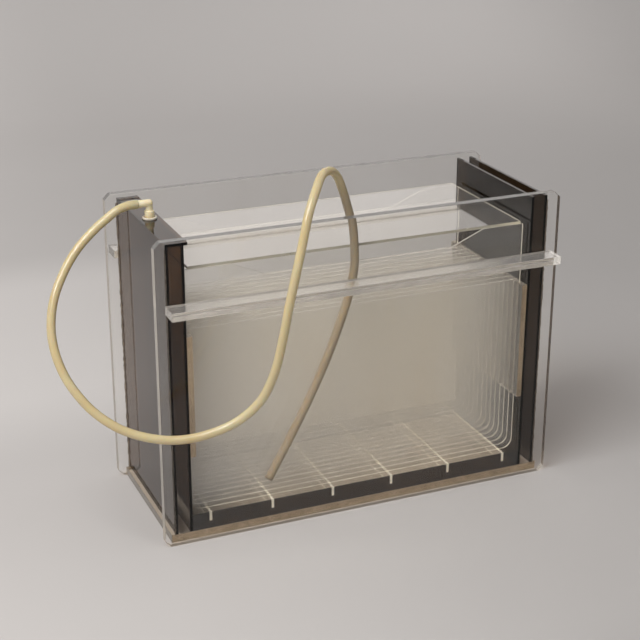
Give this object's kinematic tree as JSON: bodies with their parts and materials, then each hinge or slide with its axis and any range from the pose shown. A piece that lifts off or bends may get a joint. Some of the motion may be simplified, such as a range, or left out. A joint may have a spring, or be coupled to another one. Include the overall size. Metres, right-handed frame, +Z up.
{
  "type": "archival print washer",
  "caption": "Clear slotted tank that washes photographic prints upright between thin dividers, with a smoked inlet chamber, open drain chamber, loose lid and cream inlet hose.",
  "frame": {"origin": "on the surface the tank stands on, below the middle of the tank, measured without the inlet elbow and hose", "axes": "+Z up, -Y towards the front panel, +X towards the drain chamber; the inlet chamber is at -X"},
  "size_m": [0.584, 0.2976, 0.4176],
  "materials": {
    "clear_plate": "clear cast acrylic, 9.5 mm, polished faces",
    "clear_sheet": "clear thin acrylic with warm, light-gathering edges",
    "clear_strip": "clear acrylic strip with saw-cut edges",
    "smoked_sheet": "dark smoked acrylic, glossy, brown where light comes through",
    "pale_ring": "pale moulded ring",
    "cream_fitting": "aged cream nylon, slightly translucent",
    "cream_vinyl": "soft translucent vinyl tube, aged to cream, smooth"
  },
  "bodies": {
    "tank": {"front_panel": "clear_plate", "back_panel": "clear_plate", "base_plate": "clear_plate", "left_outer_wall": "smoked_sheet", "left_inner_wall": "smoked_sheet", "chamber_cap": "smoked_sheet", "right_inner_wall": "smoked_sheet", "right_outer_wall": "smoked_sheet", "front_rib": "clear_plate", "back_rib": "clear_plate", "left_comb": "clear_strip", "right_comb": "clear_strip", "front_rail": "smoked_sheet", "back_rail": "smoked_sheet", "cross_strip_1": "clear_strip", "cross_strip_2": "clear_strip", "cross_strip_3": "clear_strip", "cross_strip_4": "clear_strip", "cross_strip_5": "clear_strip", "cross_strip_6": "clear_strip", "front_baffle": "clear_sheet", "rear_baffle": "clear_sheet", "inlet_grommet": "pale_ring", "inlet_elbow": "cream_fitting", "inlet_hose": "cream_vinyl"},
    "divider_01": {"divider_01": "clear_sheet"},
    "divider_02": {"divider_02": "clear_sheet"},
    "divider_03": {"divider_03": "clear_sheet"},
    "divider_04": {"divider_04": "clear_sheet"},
    "divider_05": {"divider_05": "clear_sheet"},
    "divider_06": {"divider_06": "clear_sheet"},
    "divider_07": {"divider_07": "clear_sheet"},
    "divider_08": {"divider_08": "clear_sheet"},
    "divider_09": {"divider_09": "clear_sheet"},
    "divider_10": {"divider_10": "clear_sheet"},
    "divider_11": {"divider_11": "clear_sheet"},
    "divider_12": {"divider_12": "clear_sheet"},
    "lid": {"lid": "clear_sheet"}
  },
  "joints": [
    {"name": "divider_01_lift", "type": "slide", "parent": "tank", "child": "divider_01", "axis": [0, 0, 1], "range_m": [0, 0.07]},
    {"name": "divider_02_lift", "type": "slide", "parent": "tank", "child": "divider_02", "axis": [0, 0, 1], "range_m": [0, 0.07]},
    {"name": "divider_03_lift", "type": "slide", "parent": "tank", "child": "divider_03", "axis": [0, 0, 1], "range_m": [0, 0.07]},
    {"name": "divider_04_lift", "type": "slide", "parent": "tank", "child": "divider_04", "axis": [0, 0, 1], "range_m": [0, 0.07]},
    {"name": "divider_05_lift", "type": "slide", "parent": "tank", "child": "divider_05", "axis": [0, 0, 1], "range_m": [0, 0.07]},
    {"name": "divider_06_lift", "type": "slide", "parent": "tank", "child": "divider_06", "axis": [0, 0, 1], "range_m": [0, 0.07]},
    {"name": "divider_07_lift", "type": "slide", "parent": "tank", "child": "divider_07", "axis": [0, 0, 1], "range_m": [0, 0.07]},
    {"name": "divider_08_lift", "type": "slide", "parent": "tank", "child": "divider_08", "axis": [0, 0, 1], "range_m": [0, 0.07]},
    {"name": "divider_09_lift", "type": "slide", "parent": "tank", "child": "divider_09", "axis": [0, 0, 1], "range_m": [0, 0.07]},
    {"name": "divider_10_lift", "type": "slide", "parent": "tank", "child": "divider_10", "axis": [0, 0, 1], "range_m": [0, 0.07]},
    {"name": "divider_11_lift", "type": "slide", "parent": "tank", "child": "divider_11", "axis": [0, 0, 1], "range_m": [0, 0.07]},
    {"name": "divider_12_lift", "type": "slide", "parent": "tank", "child": "divider_12", "axis": [0, 0, 1], "range_m": [0, 0.07]},
    {"name": "lid_lift", "type": "slide", "parent": "tank", "child": "lid", "axis": [0, 0, 1], "range_m": [0, 0.1]}
  ]
}
